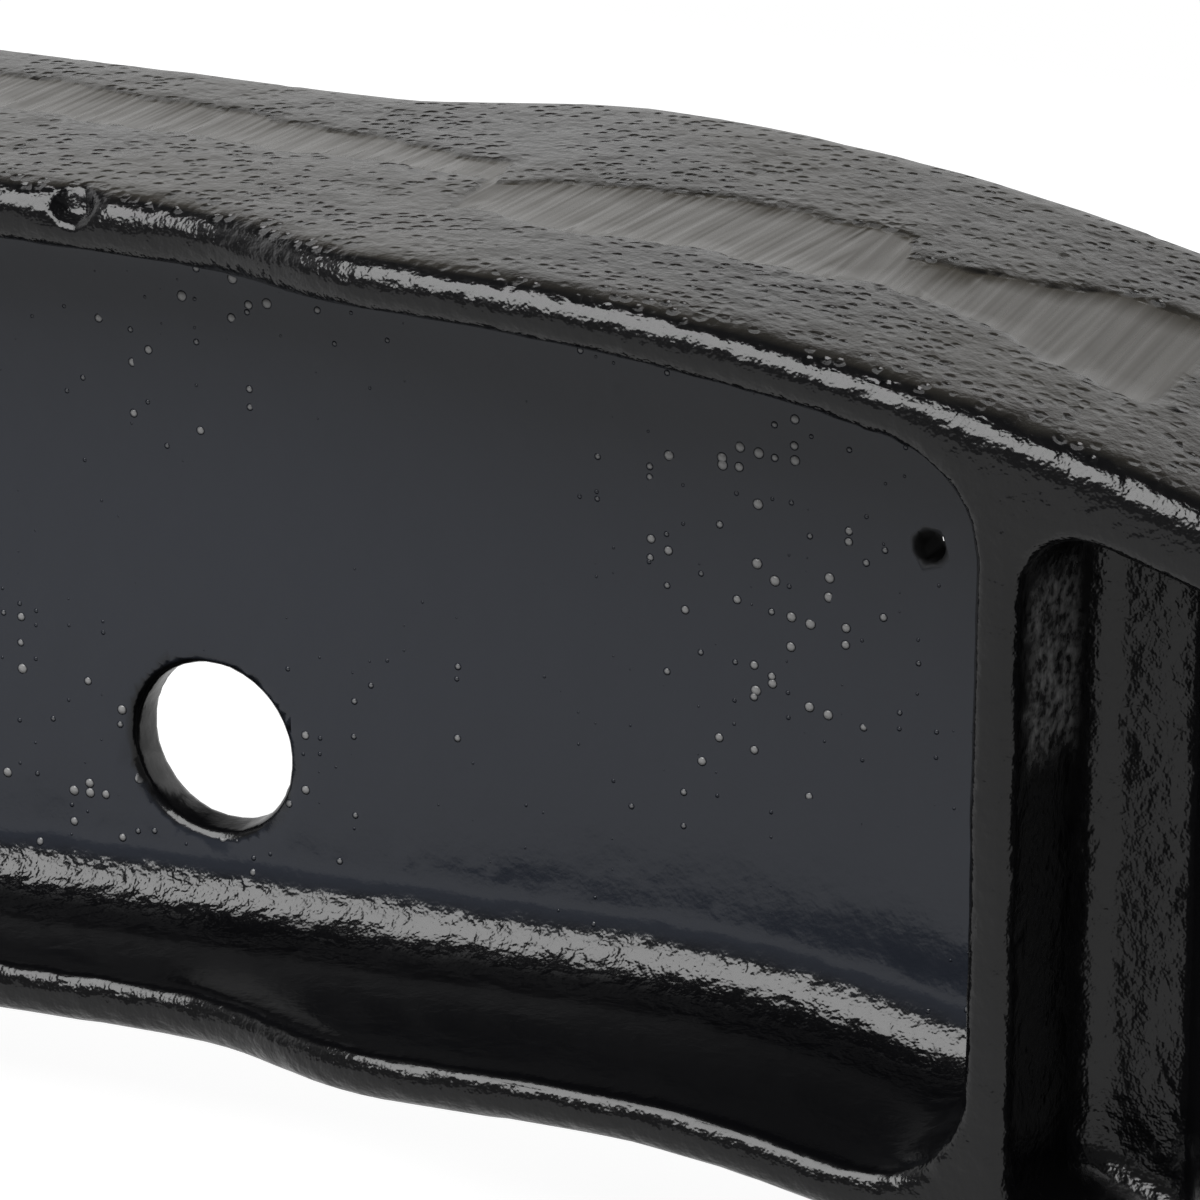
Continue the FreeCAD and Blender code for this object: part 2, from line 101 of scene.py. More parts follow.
# The ground strips on the underside end this much sooner than those on the top.
GROUND_UNDER_SHORTER = 0.033

# Heights between which the outer side of the upright rib gets a painted glint, in metres.
GLINT_LOW = 0.014
GLINT_HIGH = 0.046

# Deeper than this under the top, a face that looks up lies inside one of the channels.
CHANNEL_DEPTH = 0.02

# Nearer than this to the highest or lowest point, a face is part of the top or the underside.
OUTER_DEPTH = 0.004

# Sets the pattern of the cast skin.
SKIN_SEED = 7.0

# Where the middle of the web hole lies in the picture, right of and below its middle: shares of its width.
HOLE_IN_PICTURE = (-390.5 / 1200.0, 149.5 / 1200.0)
SENSOR_WIDTH = 36.0

LAMP_TARGET = (0.35, 0.0, 0.0)
LAMP_DIRECTION = (-0.25, -0.55, 0.76)
LAMP_DISTANCE = 1.7
LAMP_SIZE = (1.7, 1.3)

# The floor takes light and shadow up to the first distance in front of and behind the bar, and is plain
# white past the second.
FLOOR_NEAR = (0.45, 0.6)
FLOOR_HALF = 8.0
FLOOR_GLOW = 0.92
FLOOR_REFLECTED = 0.62
FLOOR_COLOUR = (0.35, 0.35, 0.35, 1.0)
WHITE = (1.0, 1.0, 1.0, 1.0)


# Settings


class SkinSettings(bpy.types.PropertyGroup):
    """Sizes of the cast surface."""

    voxel: FloatProperty(
        name="Mesh step", description="Grid that the solid is sampled on", default=0.00095, min=0.0005,
        max=0.01, subtype="DISTANCE", unit="LENGTH", precision=5)
    triangles: IntProperty(
        name="Triangles", description="Most triangles in the finished bar", default=190000, min=20000,
        max=199000)
    wave_height: FloatProperty(
        name="Wave height", description="Slow unevenness of the casting", default=0.0006, min=0.0,
        max=0.003, subtype="DISTANCE", unit="LENGTH", precision=5)
    wave_size: FloatProperty(
        name="Wave size", description="Length of the slow unevenness", default=0.045, min=0.005, max=0.3,
        subtype="DISTANCE", unit="LENGTH", precision=4)
    lump_height: FloatProperty(
        name="Lump height", description="Sand-mould lumps", default=0.0005, min=0.0, max=0.002,
        subtype="DISTANCE", unit="LENGTH", precision=5)
    lump_size: FloatProperty(
        name="Lump size", description="Spacing of the lumps", default=0.007, min=0.001, max=0.05,
        subtype="DISTANCE", unit="LENGTH", precision=4)
    pit_depth: FloatProperty(
        name="Pit depth", description="Larger pits of the cast skin", default=0.0002, min=0.0, max=0.002,
        subtype="DISTANCE", unit="LENGTH", precision=5)
    pit_spacing: FloatProperty(
        name="Pit spacing", description="Distance between larger pits", default=0.0045, min=0.002, max=0.05,
        subtype="DISTANCE", unit="LENGTH", precision=4)
    ground_depth: FloatProperty(
        name="Ground depth", description="How deep the parting line was ground", default=0.0004, min=0.0,
        max=0.002, subtype="DISTANCE", unit="LENGTH", precision=5)
    easing: IntProperty(
        name="Easing", description="Passes that ease the sampled solid", default=3, min=0, max=20)
    rounding: IntProperty(
        name="Rounding", description="Passes that round the outer edges", default=22, min=0, max=60)
    nick_place: FloatVectorProperty(
        name="Nick", description="Middle of the knock in the top front edge",
        default=(0.2895, -0.0335, 0.0752), size=3, subtype="XYZ", unit="LENGTH")
    nick_radius: FloatProperty(
        name="Nick radius", description="Reach of the knock", default=0.0044, min=0.0005, max=0.02,
        subtype="DISTANCE", unit="LENGTH", precision=4)
    nick_depth: FloatProperty(
        name="Nick depth", description="Depth of the knock", default=0.0028, min=0.0, max=0.005,
        subtype="DISTANCE", unit="LENGTH", precision=5)


class PaintSettings(bpy.types.PropertyGroup):
    """Colours and gloss of the paint."""

    black: FloatVectorProperty(
        name="Paint", description="Black paint", default=(0.0022, 0.0022, 0.0026), size=3,
        min=0.0, max=1.0, subtype="COLOR")
    # Painted reflection: a lighter, slightly blue copy of the black paint, laid on the webs in place of the
    # room they reflect.
    web: FloatVectorProperty(
        name="Webs", description="Slightly blue paint of the smooth webs", default=(0.0175, 0.0205, 0.0285),
        size=3, min=0.0, max=1.0, subtype="COLOR")
    # A lighter brownish grey on the upward faces of the top, uneven in places, and full on the ground
    # strips.
    top_grey: FloatVectorProperty(
        name="Dust", description="Dull film on the top of the bar", default=(0.036, 0.032, 0.025), size=3,
        min=0.0, max=1.0, subtype="COLOR")
    # Painted glint: a light grey that stands in for the lamp's reflection, on the tips of the web beads and
    # on a patch of the rib's outer side.
    scuff: FloatVectorProperty(
        name="Scuff", description="Scuffed paint on the ribs", default=(0.24, 0.24, 0.24), size=3,
        min=0.0, max=1.0, subtype="COLOR")
    gloss: FloatProperty(
        name="Roughness", description="Roughness of the paint", default=0.18, min=0.05, max=1.0,
        subtype="FACTOR")
    dull: FloatProperty(
        name="Top roughness", description="Roughness of the paint on the top", default=0.27, min=0.05,
        max=1.0, subtype="FACTOR")


class StageSettings(bpy.types.PropertyGroup):
    """Camera, lamps and floor."""

    turn: FloatProperty(
        name="Camera turn", description="Camera to the right of the bar's front",
        default=math.radians(27.0), subtype="ANGLE", unit="ROTATION")
    rise: FloatProperty(
        name="Camera rise", description="Camera above the horizon", default=math.radians(20.0),
        subtype="ANGLE", unit="ROTATION")
    roll: FloatProperty(
        name="Camera roll", description="Roll of the photograph", default=math.radians(0.25),
        subtype="ANGLE", unit="ROTATION")
    distance: FloatProperty(
        name="Camera distance", description="Depth of the web hole in front of the camera", default=1.2308,
        min=0.1, max=20.0, subtype="DISTANCE", unit="LENGTH")
    lens: FloatProperty(name="Lens", description="Focal length in mm", default=240.0, min=10.0, max=1000.0)
    overhead: FloatProperty(
        name="Overhead lamp", description="Power of the large soft lamp above", default=44.0, min=0.0,
        max=500.0, unit="POWER")
    sky: FloatProperty(
        name="Surroundings", description="Brightness of the white room on the object", default=0.92,
        min=0.0, max=2.0)


# Node trees


class Graph:
    """Adds nodes to a tree from left to right and links them."""

    def __init__(self, tree):
        self.tree = tree
        self.count = 0

    def add(self, kind, settings=None, **inputs):
        """A node with its settings, and its inputs by name or index; gives the node."""
        made = self.tree.nodes.new(kind)
        made.location = (self.count % 12 * 190, -(self.count // 12) * 320)
        self.count += 1
        for name, value in (settings or {}).items():
            setattr(made, name, value)
        for name, value in inputs.items():
            self.feed(made, name, value)
        return made

    def feed(self, made, name, value):
        """Sets or links an input, named in words with underscores or as in0, in1."""
        if name.startswith("in") and name[2:].isdigit():
            socket = made.inputs[int(name[2:])]
        else:
            socket = made.inputs[name.replace("_", " ")]
        if isinstance(value, bpy.types.NodeSocket):
            self.tree.links.new(value, socket)
        else:
            socket.default_value = value

    def math(self, operation, first, second=0.0, clamp=False):
        made = self.add("ShaderNodeMath", {"operation": operation, "use_clamp": clamp},
                        in0=first, in1=second)
        return made.outputs[0]

    def product(self, *factors):
        result = factors[0]
        for factor in factors[1:]:
            result = self.math("MULTIPLY", result, factor)
        return result

    def vector(self, operation, first, second=None, scale=None):
        made = self.add("ShaderNodeVectorMath", {"operation": operation}, in0=first)
        if second is not None:
            self.feed(made, "in1", second)
        if scale is not None:
            self.feed(made, "Scale", scale)
        return made.outputs["Value" if operation == "DISTANCE" else "Vector"]

    def ramp(self, value, low, high, bottom=0.0, top=1.0):
        """A value moved smoothly from one range to another."""
        made = self.add("ShaderNodeMapRange", {"interpolation_type": "SMOOTHSTEP"}, Value=value)
        for name, number in (("From Min", low), ("From Max", high), ("To Min", bottom), ("To Max", top)):
            self.feed(made, name, number)
        return made.outputs["Result"]

    def noise(self, vector, scale, detail=2.0, roughness=0.5):
        """Noise about zero."""
        made = self.add("ShaderNodeTexNoise", Vector=vector, Scale=scale, Detail=detail,
                        Roughness=roughness)
        return self.math("SUBTRACT", made.outputs[0], 0.5)

    def cells(self, vector, scale):
        """Distance from the middles of uneven cells, as a share of their spacing."""
        return self.add("ShaderNodeTexVoronoi", Vector=vector, Scale=scale).outputs["Distance"]

    def mix(self, share, first, second):
        made = self.add("ShaderNodeMix", {"data_type": "FLOAT"}, Factor=share)
        self.feed(made, "in2", first)
        self.feed(made, "in3", second)
        return made.outputs[0]

    def mix_colour(self, share, first, second):
        made = self.add("ShaderNodeMix", {"data_type": "RGBA"}, Factor=share)
        self.feed(made, "in6", first)
        self.feed(made, "in7", second)
        return made.outputs[2]


def opaque(colour):
    return (*colour, 1.0)


# The cast skin


def bare_mesh(voxel, easing):
    """The solid of the bar, sampled on a fine even grid."""
    source = bpy.data.objects.new("bar_sampling", bpy.data.objects[NODE].data.copy())
    bpy.context.scene.collection.objects.link(source)
    work = bmesh.new()
    work.from_mesh(source.data)
    bmesh.ops.remove_doubles(work, verts=work.verts, dist=1e-6)
    work.to_mesh(source.data)
    work.free()
    remesh = source.modifiers.new("Grid", "REMESH")
    remesh.mode = "VOXEL"
    remesh.voxel_size = voxel
    remesh.use_smooth_shade = True
    soften = source.modifiers.new("Easing", "SMOOTH")
    soften.factor = 0.5
    soften.iterations = easing
    bpy.context.view_layer.update()
    depsgraph = bpy.context.evaluated_depsgraph_get()
    mesh = bpy.data.meshes.new_from_object(source.evaluated_get(depsgraph))
    bpy.data.objects.remove(source)
    true_up(mesh)
    return mesh


def true_up(mesh):
    """Moves the points round each small hole onto its cylinder, and its rim flat onto the web."""
    points, _ = mesh_points(mesh)
    for reach, height, radius in SMALL_HOLES:
        side = np.where(points[:, 0] < 0.0, -reach, reach)
        x, z = points[:, 0] - side, points[:, 2] - height
        away = np.hypot(x, z)
        near = (away > radius * 0.3) & (away < radius + 0.0008)
        points[near, 0] = side[near] + x[near] * radius / away[near]
        points[near, 2] = height + z[near] * radius / away[near]
        on_web = np.abs(np.abs(points[:, 1]) - WEB_HALF) < 0.001
        rim = (away > radius + 0.0002) & (away < radius + 0.0035) & on_web
        points[rim, 1] = np.sign(points[rim, 1]) * WEB_HALF
    mesh.vertices.foreach_set("co", points.ravel())
    mesh.update()


def smooth_step(value, low, high):
    share = np.clip((value - low) / (high - low), 0.0, 1.0)
    return share * share * (3.0 - 2.0 * share)


def mesh_points(mesh):
    points = np.empty(len(mesh.vertices) * 3, np.float32)
    mesh.vertices.foreach_get("co", points)
    normals = np.empty(len(mesh.vertices) * 3, np.float32)
    mesh.vertex_normals.foreach_get("vector", normals)
    return points.reshape(-1, 3), normals.reshape(-1, 3)


def write_attribute(mesh, name, values):
    attribute = mesh.attributes.get(name) or mesh.attributes.new(name, "FLOAT", "POINT")
    attribute.data.foreach_set("value", values.astype(np.float32))


def ragged(place, seed):
    """An uneven edge, a few tenths of a millimetre either way."""
    waves = ((210.0, 0.0007), (530.0, 0.0005), (1270.0, 0.0003))
    return sum(size * np.sin(place * rate + seed * (index + 1.7))
               for index, (rate, size) in enumerate(waves))


def depth_below(points):
    """How far each point lies under the top of the bar and over its underside."""
    column = np.round(points[:, 0] / 0.002).astype(int)
    column -= column.min()
    top = np.full(column.max() + 1, -1.0)
    bottom = np.full(column.max() + 1, 1.0)
    np.maximum.at(top, column, points[:, 2])
    np.minimum.at(bottom, column, points[:, 2])
    return top[column] - points[:, 2], points[:, 2] - bottom[column]


def band(value, low, high, soft):
    """1 between two limits, easing to 0 at both over a soft width inside them."""
    return smooth_step(value, low, low + soft) * (1.0 - smooth_step(value, high - soft, high))


def mark_ground(mesh):
    """Writes where the parting line was ground flush, 1 on the ground strip and 0 off it."""
    points, normals = mesh_points(mesh)
    along, front, back = (np.array(column) for column in zip(*GROUND_COURSE))
    top = normals[:, 2] > 0.0
    across = points[:, 1]
    reach = np.abs(points[:, 0]) + np.where(top, 0.0, GROUND_UNDER_SHORTER)
    seed = np.sign(points[:, 0]) * 1.9 + np.where(top, 0.0, 2.3)
    low = np.interp(reach, along, front) + ragged(points[:, 0], seed)
    high = np.interp(reach, along, back) + ragged(points[:, 0], seed + 4.0)
    strip = band(across, low, high, 0.0012) * band(reach, along[0], along[-1], 0.004)
    under, over = depth_below(points)
    strip *= smooth_step(np.abs(normals[:, 2]), 0.6, 0.8) * (np.where(top, under, over) < OUTER_DEPTH)
    write_attribute(mesh, "ground", strip)


def mark_skin(mesh):
    """Writes how rough the casting is: 1 as cast, less in the lower channel and round the web hole, 0 where
    machined; and the small holes, whose walls stay smooth."""
    points, normals = mesh_points(mesh)
    x, y, z = points.T
    under, _ = depth_below(points)
    pin = np.hypot(np.abs(x) - KING_PIN_X, y)
    pivot = np.hypot(x, z)
    web_hole = np.hypot(np.abs(x) - WEB_HOLE[0], z - WEB_HOLE[1])
    calm = smooth_step(np.abs(y), 0.0155, 0.0185) * smooth_step(normals[:, 2], 0.5, 0.8)
    calm = np.maximum(calm * (under > CHANNEL_DEPTH), web_hole < 0.0152)
    machined = (np.abs(z - BOSS_TOP) < 0.0012) & (pin < 0.0445)
    machined |= z < BOSS_FOOT + 0.0012
    machined |= np.abs(y) > HUB_REACH - 0.0012
    machined |= pin < 0.0225
    machined |= pivot < 0.025
    skin = (1.0 - 0.8 * calm) * (1.0 - machined)
    bore = np.zeros(len(x))
    for reach, height, radius in SMALL_HOLES:
        bore = np.maximum(bore, np.hypot(np.abs(x) - reach, z - height) < radius + 0.0003)
    write_attribute(mesh, "skin", skin)
    write_attribute(mesh, "bore", bore)
    write_attribute(mesh, "relief", (0.1 + 0.9 * skin) * (1.0 - bore))


def mark_places(mesh):
    """Writes where the webs, top, pitted faces, channels, the rib's painted glint and outer edges are."""
    points, normals = mesh_points(mesh)
    x, y, z = np.abs(points[:, 0]), np.abs(points[:, 1]), points[:, 2]
    under, over = depth_below(points)
    inboard = x < RIB_X
    depth = np.where(inboard, WEB_HALF, END_WEB_HALF)
    # The webs: where the painted reflection and the calmer relief go.
    web = 1.0 - smooth_step(y, depth + 0.0005, depth + 0.0025)
    web *= smooth_step(np.abs(normals[:, 1]), 0.85, 0.98)
    write_attribute(mesh, "web", web * inboard * (x > BLOCK_END_X))
    upper = smooth_step(normals[:, 2], 0.75, 0.95) * (under < OUTER_DEPTH)
    lower = smooth_step(-normals[:, 2], 0.75, 0.95) * (over < OUTER_DEPTH)
    write_attribute(mesh, "top", smooth_step(normals[:, 2], 0.9, 0.97) * upper)
    write_attribute(mesh, "pitted", np.maximum(upper, lower))
    write_attribute(mesh, "shade", smooth_step(normals[:, 2], 0.75, 0.95) * (under > CHANNEL_DEPTH))
    # A grainy patch on the outer side of the upright rib that gets a painted glint.
    scuff = smooth_step(normals[:, 0] * np.sign(points[:, 0]), 0.5, 0.8)
    scuff *= (x > RIB_X + 0.0028) * (x < RIB_X + 0.0148)
    scuff *= smooth_step(y, 0.0225, 0.026) * (1.0 - smooth_step(y, 0.0365, 0.0395))
    write_attribute(mesh, "scuff", scuff * band(z, GLINT_LOW, GLINT_HIGH, 0.006))
    edge = np.maximum(1.0 - smooth_step(under, 0.007, 0.0095), 1.0 - smooth_step(over, 0.014, 0.017))
    edge *= smooth_step(y, 0.020, 0.024)
    edge *= (np.hypot(x - KING_PIN_X, y) > 0.0465) * (x > BLOCK_END_X + 0.004)
    write_attribute(mesh, "edge", edge)


def mark_all(mesh):
    mark_ground(mesh)
    mark_skin(mesh)
    mark_places(mesh)


def skin_tree(material):
    """Geometry nodes that lay the uneven surface of a sand casting on a smooth one."""
    tree = bpy.data.node_groups.new("Cast skin", "GeometryNodeTree")
    sockets = {}
    tree.interface.new_socket("Geometry", in_out="INPUT", socket_type="NodeSocketGeometry")
    tree.interface.new_socket("Geometry", in_out="OUTPUT", socket_type="NodeSocketGeometry")
    tree.interface.new_socket("Rounding", in_out="INPUT", socket_type="NodeSocketInt")
    sockets["Rounding"] = tree.interface.items_tree["Rounding"].identifier
    for name in ("Wave height", "Wave size", "Lump height", "Lump size", "Pit depth", "Pit spacing",
                 "Ground depth", "Nick radius", "Nick depth", "Seed"):
        made = tree.interface.new_socket(name, in_out="INPUT", socket_type="NodeSocketFloat")
        sockets[name] = made.identifier
    made = tree.interface.new_socket("Nick place", in_out="INPUT", socket_type="NodeSocketVector")
    sockets["Nick place"] = made.identifier
    graph = Graph(tree)
    given = graph.add("NodeGroupInput").outputs
    place = graph.add("GeometryNodeInputPosition").outputs[0]
    normal = graph.add("GeometryNodeInputNormal").outputs[0]
    skin, ground, pitted, edge = (
        graph.add("GeometryNodeInputNamedAttribute", {"data_type": "FLOAT"}, Name=name).outputs[0]
        for name in ("skin", "ground", "pitted", "edge"))
    eased = graph.add("GeometryNodeBlurAttribute", {"data_type": "FLOAT_VECTOR"}, Value=place,
                      Iterations=given["Rounding"], Weight=edge).outputs[0]
    rounded = graph.add("GeometryNodeSetPosition", Geometry=given["Geometry"], Position=eased).outputs[0]
    seeded = graph.vector("ADD", place, graph.vector("SCALE", (1.0, 1.0, 1.0), scale=given["Seed"]))

    wave = graph.noise(seeded, graph.math("DIVIDE", 1.0, given["Wave size"]), 1.0)
    lump = graph.noise(seeded, graph.math("DIVIDE", 1.0, given["Lump size"]), 2.0)
    pit_cell = graph.cells(seeded, graph.math("DIVIDE", 1.0, given["Pit spacing"]))
    pit_patch = graph.ramp(graph.noise(seeded, 90.0), -0.05, 0.05)
    pit = graph.product(graph.ramp(pit_cell, 0.12, 0.34, 1.0, 0.0), pitted, pit_patch)
    rough = graph.product(lump, given["Lump height"], graph.mix(edge, 1.0, 0.45))
    rough = graph.math("SUBTRACT", rough, graph.product(pit, given["Pit depth"]))
    rough = graph.product(rough, graph.mix(ground, 1.0, 0.12))
    height = graph.math("ADD", rough, graph.product(wave, given["Wave height"]))
    height = graph.math("SUBTRACT", height, graph.product(given["Wave height"], 0.35))
    knock = graph.vector("DISTANCE", place, given["Nick place"])
    knock = graph.ramp(graph.math("DIVIDE", knock, given["Nick radius"]), 0.3, 1.0, 1.0, 0.0)
    height = graph.math("SUBTRACT", height, graph.product(knock, given["Nick depth"]))
    height = graph.math("SUBTRACT", height, graph.product(ground, given["Ground depth"]))
    offset = graph.vector("SCALE", normal, scale=graph.product(height, skin))
    moved = graph.add("GeometryNodeSetPosition", Geometry=rounded, Offset=offset).outputs[0]
    real = graph.add("GeometryNodeRealizeInstances", Geometry=moved).outputs[0]
    painted = graph.add("GeometryNodeSetMaterial", Geometry=real, Material=material).outputs[0]
    graph.add("NodeGroupOutput", Geometry=painted)
    return tree, sockets


def lay_skin(mesh, settings, material):
    """The finished surface: the cast skin on the sampled solid, then no more triangles than allowed."""
    work = bpy.data.objects.new("bar_skin", mesh)
    bpy.context.scene.collection.objects.link(work)
    tree, sockets = skin_tree(material)
    modifier = work.modifiers.new("Cast skin", "NODES")
    modifier.node_group = tree
    values = {
        "Rounding": settings.rounding,
        "Wave height": settings.wave_height,
        "Wave size": settings.wave_size,
        "Lump height": settings.lump_height,
        "Lump size": settings.lump_size,
        "Pit depth": settings.pit_depth,
        "Pit spacing": settings.pit_spacing,
        "Ground depth": settings.ground_depth,
        "Nick radius": settings.nick_radius,
        "Nick depth": settings.nick_depth,
        "Seed": SKIN_SEED,
    }
    for name, value in values.items():
        modifier[sockets[name]] = value
    modifier[sockets["Nick place"]] = tuple(settings.nick_place)
    thin = work.modifiers.new("Fewer triangles", "DECIMATE")
    mesh.calc_loop_triangles()
    thin.ratio = min(1.0, settings.triangles / len(mesh.loop_triangles))
    bpy.context.view_layer.update()
    depsgraph = bpy.context.evaluated_depsgraph_get()
    made = bpy.data.meshes.new_from_object(work.evaluated_get(depsgraph))
    bpy.data.objects.remove(work)
    return made


# The paint


def flat_cells(graph, first, second, scale):
    """Uneven cells over two directions: the distance from their middles, and a chance value for each."""
    flat = graph.add("ShaderNodeCombineXYZ", in0=first, in1=second).outputs[0]
    cell = graph.add("ShaderNodeTexVoronoi", {"voronoi_dimensions": "2D"}, Vector=flat, Scale=scale).outputs
    return cell["Distance"], graph.add("ShaderNodeSeparateXYZ", in0=cell["Color"]).outputs[0]


def beads(graph, place, axes):
    """Small beads on the webs, a few larger than the rest, close together in places."""
    distance, chance = flat_cells(graph, axes[0], axes[2], 340.0)
    crowd = graph.product(graph.noise(place, 22.0, 0.0), 0.7)
    radius = graph.ramp(graph.math("ADD", chance, crowd), 0.76, 1.15, 0.0, 0.3)
    inside = graph.math("SUBTRACT", graph.math("POWER", radius, 2.0), graph.math("POWER", distance, 2.0))
    return graph.product(graph.math("SQRT", graph.math("MAXIMUM", inside, 0.0)), 4.2)


def scratches(graph, place, axes):
    """Grinding marks across the bar; their direction changes from one pass to the next."""
    outer = graph.ramp(graph.math("ABSOLUTE", axes[0]), 0.398, 0.402)
    angle = graph.mix(outer, math.radians(2.0), math.radians(-6.0))
    turned = graph.add("ShaderNodeVectorRotate", {"rotation_type": "Z_AXIS"}, Vector=place, Angle=angle)
    stretched = graph.vector("MULTIPLY", turned.outputs[0], (1.0, 0.04, 0.04))
    return graph.noise(stretched, 520.0, 1.0, 0.7)


def cast_relief(graph, place, axes, pitted):
    """Grain and lumps of the sand everywhere, pits on the outer faces; gives the height, pits and grain."""
    grain = graph.noise(place, 560.0, 2.0, 0.6)
    lump = graph.noise(place, 170.0, 1.0)
    patch = graph.ramp(graph.noise(place, 60.0, 0.0), -0.15, 0.1, 0.25, 1.0)
    distance, chance = flat_cells(graph, axes[0], axes[1], 420.0)
    pit = graph.ramp(graph.math("ADD", distance, graph.product(lump, 0.8)), 0.08, 0.5, 1.0, 0.0)
    pit = graph.product(pit, graph.ramp(chance, 0.15, 0.9, 0.0, 1.0))
    pit = graph.product(pit, graph.product(pitted, patch))
    height = graph.math("ADD", graph.product(grain, 0.5), lump)
    height = graph.product(height, graph.mix(pitted, 1.15, 0.7))
    return graph.math("SUBTRACT", height, graph.product(pit, 1.3)), pit, grain


def paint_bump(graph, marks, cast, bead, scratch):
    """The fine relief: cast grain, calmer on the webs, scratched where ground, none in the small holes."""
    calm = graph.math("ADD", graph.product(cast, 0.2), bead)
    relief = graph.mix(marks["web"], cast, calm)
    relief = graph.mix(marks["ground"], relief, graph.product(scratch, 0.7))
    relief = graph.product(relief, marks["relief"])
    return graph.add("ShaderNodeBump", Height=relief, Strength=1.0, Distance=0.0005).outputs[0]


def make_paint(settings):
    """Semi-gloss black paint over rough cast skin, with a painted reflection on the webs, painted glints on
    the web beads and the rib, and painted shade in the pits of the top.
    """
    material = bpy.data.materials.new("black_paint")
    material.use_nodes = True
    material.node_tree.nodes.clear()
    graph = Graph(material.node_tree)
    place = graph.add("ShaderNodeTexCoord").outputs["Object"]
    axes = graph.add("ShaderNodeSeparateXYZ", in0=place).outputs
    marks = {}
    for name in ("ground", "relief", "web", "top", "pitted", "scuff", "bore", "shade"):
        marks[name] = graph.add("ShaderNodeAttribute", {"attribute_name": name}).outputs["Fac"]
    cast, pit, grain = cast_relief(graph, place, axes, marks["pitted"])
    scratch = scratches(graph, place, axes)
    bead = beads(graph, place, axes)
    bump = paint_bump(graph, marks, cast, bead, scratch)

    cloud = graph.noise(place, 28.0, 1.0)
    ground = graph.product(marks["ground"], marks["top"])
    # The top takes a lighter brownish grey, uneven in places, full on the ground strips.
    top_grey_share = graph.product(marks["top"], graph.ramp(cloud, -0.3, 0.25, 0.2, 0.7))
    # Painted shade: the pits lose most of the lighter grey, so they read dark.
    top_grey_share = graph.product(top_grey_share, graph.math("SUBTRACT", 1.0, graph.product(pit, 0.8)))
    top_grey_share = graph.math("MAXIMUM", top_grey_share, ground)
    # Painted reflection: the webs take the lighter blue-grey copy of the black paint.
    colour = graph.mix_colour(marks["web"], opaque(settings.black), opaque(settings.web))
    colour = graph.mix_colour(top_grey_share, colour, opaque(settings.top_grey))
    # Painted glints: the tips of the web beads take the light grey, standing in for the lamp's reflection
    # on them.
    bead_glint = graph.product(graph.ramp(bead, 0.45, 0.95), marks["web"])
    # Painted glint: a grainy patch on the rib's outer side takes the light grey in place of the lamp's
    # reflection.
    glint_patch = graph.product(marks["scuff"], graph.ramp(grain, -0.2, 0.25))
    colour = graph.mix_colour(graph.math("MAXIMUM", glint_patch, bead_glint), colour, opaque(settings.scuff))

    rough = graph.mix(marks["top"], settings.gloss, settings.dull)
    rough = graph.math("MAXIMUM", rough, graph.product(marks["bore"], 0.95))
    rough = graph.math("ADD", rough, graph.product(cloud, 0.1))
    rough = graph.math("ADD", rough, graph.product(scratch, ground, 0.3))
    specular = graph.mix(marks["shade"], 0.5, 0.03)
    shader = graph.add("ShaderNodeBsdfPrincipled", Base_Color=colour, Roughness=rough, Normal=bump,
                       Specular_IOR_Level=specular)
    graph.add("ShaderNodeOutputMaterial", Surface=shader.outputs[0])
    return material


# The stage


def make_world(settings):
    """A white backdrop for the camera; for the bar, a room bright behind and dark in front and above."""
    world = bpy.data.worlds.new("Studio")
    bpy.context.scene.world = world
    world.use_nodes = True
    world.node_tree.nodes.clear()
    graph = Graph(world.node_tree)
    direction = graph.add("ShaderNodeTexCoord").outputs["Generated"]
    towards = graph.add("ShaderNodeSeparateXYZ", in0=direction).outputs
    behind = graph.ramp(towards[1], -0.45, 0.1, 0.15, 1.0)
    low = graph.ramp(towards[2], 0.48, 0.68, settings.sky, settings.sky * 0.08)
    path = graph.add("ShaderNodeLightPath").outputs
    seen = graph.math("MAXIMUM", path["Is Camera Ray"], path["Is Transmission Ray"])
    strength = graph.mix(seen, graph.product(behind, low), 1.0)
    back = graph.add("ShaderNodeBackground", Color=WHITE, Strength=strength)
    graph.add("ShaderNodeOutputWorld", Surface=back.outputs[0])
    world.cycles.sampling_method = "NONE"


def floor_paint():
    """Pale floor: near the bar it takes the bar's shadow, and the bar reflects it as a plain glow."""
    material = bpy.data.materials.new("pale_floor")
    material.use_nodes = True
    material.node_tree.nodes.clear()
    graph = Graph(material.node_tree)
    path = graph.add("ShaderNodeLightPath").outputs
    place = graph.add("ShaderNodeTexCoord").outputs["Object"]
    across = graph.add("ShaderNodeSeparateXYZ", in0=place).outputs[1]
    near = graph.ramp(graph.math("ABSOLUTE", across), *FLOOR_NEAR, 1.0, 0.0)
    seen = graph.math("MAXIMUM", path["Is Camera Ray"], path["Is Transmission Ray"])
    strength = graph.mix(seen, FLOOR_REFLECTED, graph.mix(near, 1.0, FLOOR_GLOW))
    glow = graph.add("ShaderNodeEmission", Color=WHITE, Strength=strength).outputs[0]
    pale = graph.add("ShaderNodeBsdfDiffuse", Color=FLOOR_COLOUR).outputs[0]
    lit = graph.add("ShaderNodeAddShader", in0=glow, in1=pale).outputs[0]
    both = graph.add("ShaderNodeMixShader", in0=graph.product(seen, near), in1=glow, in2=lit).outputs[0]
    graph.add("ShaderNodeOutputMaterial", Surface=both)
    material.cycles.emission_sampling = "NONE"
    return material


